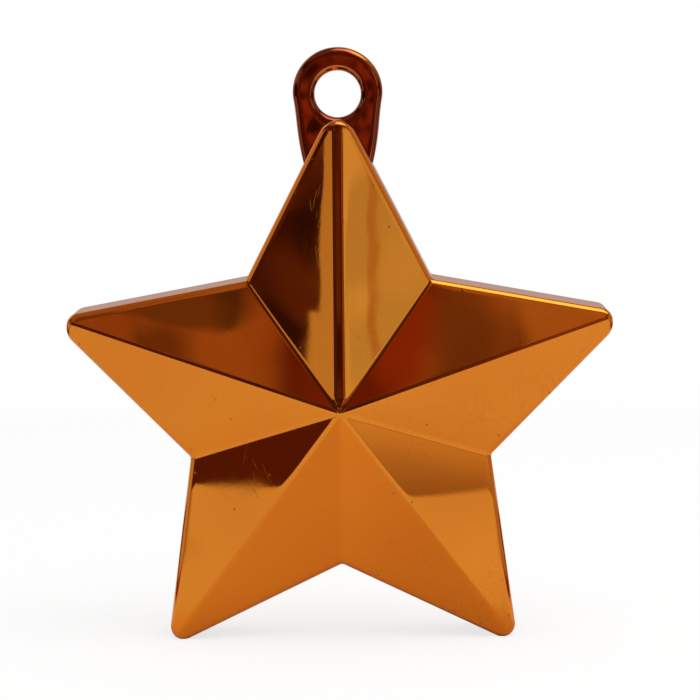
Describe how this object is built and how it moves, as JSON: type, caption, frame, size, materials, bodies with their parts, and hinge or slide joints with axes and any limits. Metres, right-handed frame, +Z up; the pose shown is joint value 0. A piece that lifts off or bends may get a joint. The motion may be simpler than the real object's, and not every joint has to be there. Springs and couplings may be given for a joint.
{
  "type": "balloon weight",
  "caption": "Hollow faceted star with a hang eye on its back cover and a sand fill inside, standing on its lower tips to hold down a balloon on a ribbon.",
  "frame": {"origin": "on the floor under the middle of the star, half way between its peak and its back face", "axes": "+X to the star's right as seen from the front, +Y to the flat back, +Z up to the hang eye"},
  "size_m": [0.104, 0.0234, 0.1124],
  "materials": {
    "metallised_orange": "polished",
    "plug_plastic": "satin",
    "dry_sand": "matte",
    "clear_adhesive": "gloss"
  },
  "bodies": {
    "root": {"front_shell": "metallised_orange", "back_cover": "metallised_orange", "fill_plug": "plug_plastic", "sand_ballast": "dry_sand", "seam_adhesive": "clear_adhesive"}
  },
  "joints": []
}
